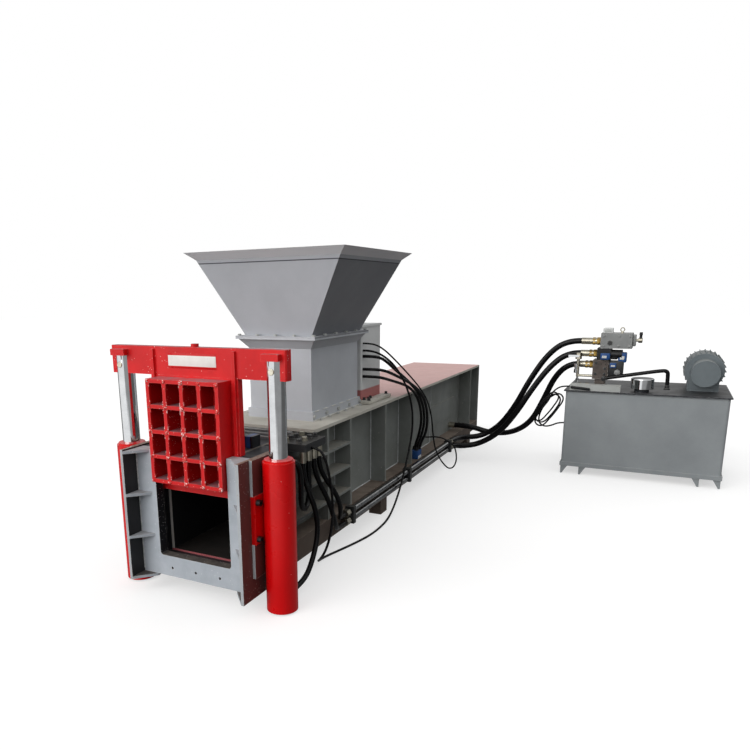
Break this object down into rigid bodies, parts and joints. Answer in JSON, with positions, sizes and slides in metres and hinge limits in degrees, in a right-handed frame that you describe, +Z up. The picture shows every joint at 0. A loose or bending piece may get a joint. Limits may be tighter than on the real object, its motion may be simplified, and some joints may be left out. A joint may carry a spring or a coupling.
{
  "type": "briquetting machine",
  "caption": "Horizontal hydraulic briquetting press: hopper over a long body, vertical gate lifted by two side cylinders, and a separate power unit joined by hoses.",
  "frame": {"origin": "on the floor under the front plate's front face, on the press centreline", "axes": "+X right across the gate seen from the front, +Y from the gate to the rear, +Z up"},
  "size_m": [2.3545, 3.362, 1.37],
  "materials": {
    "frame_grey": "worn light grey paint with weld spatter",
    "flange_brown": "dark brown-red paint",
    "primer_red": "red primer, rubbed",
    "body_grey": "dark grey paint, dusty",
    "deck_primer": "grey paint over pink primer",
    "rail_brown": "brownish grey paint",
    "gate_red": "red paint, welds and spatter",
    "barrel_red": "glossy red paint",
    "dark_steel": "oiled steel",
    "rod_chrome": "polished chrome",
    "hopper_grey": "grey paint, dusty",
    "block_grey": "phosphated steel",
    "pipe_black": "glossy black paint",
    "zinc": "zinc plate",
    "blue_plastic": "blue plastic",
    "valve_black": "black plastic",
    "tank_grey": "grey satin paint",
    "bar_grey": "light grey paint",
    "hose_rubber": "black rubber"
  },
  "bodies": {
    "press": {"front_plate": "frame_grey", "gate_guides": "frame_grey", "chamber_frame": "frame_grey", "front_gussets": "frame_grey", "side_flanges": "flange_brown", "chamber_floor": "primer_red", "body_walls": "body_grey", "chamber_roof": "body_grey", "bulkheads": "body_grey", "body_ribs": "body_grey", "body_shelves": "body_grey", "top_deck": "deck_primer", "body_rails": "rail_brown", "foot_blocks": "rail_brown", "lift_barrels": "barrel_red", "barrel_brackets": "barrel_red", "main_barrel": "barrel_red", "bracket_screws": "dark_steel", "lift_glands": "dark_steel", "main_gland": "dark_steel", "neck_bolts": "dark_steel", "neck": "hopper_grey", "neck_strip": "hopper_grey", "hopper": "hopper_grey", "rear_box": "hopper_grey", "manifold": "block_grey", "lower_manifold": "block_grey", "valve_block": "block_grey", "pipe_clamps": "block_grey", "side_pipes": "pipe_black", "pipe_unions": "zinc", "hose_ferrules": "zinc", "gauge_cock": "zinc", "limit_switch": "blue_plastic", "solenoid_valves": "valve_black", "tank": "tank_grey", "tank_lid": "tank_grey", "motor": "tank_grey", "pump": "tank_grey", "cover_bar": "bar_grey", "unit_hose_top": "hose_rubber", "unit_hose_middle": "hose_rubber", "unit_hose_low": "hose_rubber", "barrel_hose_low": "hose_rubber", "barrel_hose_high": "hose_rubber", "pipe_hose_low": "hose_rubber", "pipe_hose_high": "hose_rubber", "electric_cables": "hose_rubber"},
    "gate": {"lift_rods": "rod_chrome", "lift_pistons": "dark_steel", "rod_pins": "dark_steel", "crossbeam": "gate_red", "gate_plate": "gate_red", "gate_grid": "gate_red"},
    "ram": {"platen": "dark_steel", "ram_rod": "rod_chrome", "ram_piston": "dark_steel"},
    "breather": {"breather_cap": "rod_chrome"},
    "cock_lever": {"cock_lever": "rod_chrome"},
    "motor_shaft": {"motor_shaft": "dark_steel"}
  },
  "joints": [
    {"name": "gate_lift", "type": "slide", "parent": "press", "child": "gate", "axis": [0, 0, 1], "range_m": [-0.272, 0.178]},
    {"name": "ram_stroke", "type": "slide", "parent": "press", "child": "ram", "axis": [0, 1, 0], "range_m": [-1.1, 0]},
    {"name": "breather_turn", "type": "hinge", "parent": "press", "child": "breather", "pos_m": [1.455, 2.63, 0.6], "axis": [0, 0, 1], "range_deg": [0, 60]},
    {"name": "cock_turn", "type": "hinge", "parent": "press", "child": "cock_lever", "pos_m": [1.072, 2.645, 0.765], "axis": [0, 1, 0], "range_deg": [0, 90]},
    {"name": "motor_spin", "type": "hinge", "parent": "press", "child": "motor_shaft", "pos_m": [1.79, 2.7, 0.678], "axis": [0, 1, 0], "continuous": true}
  ]
}
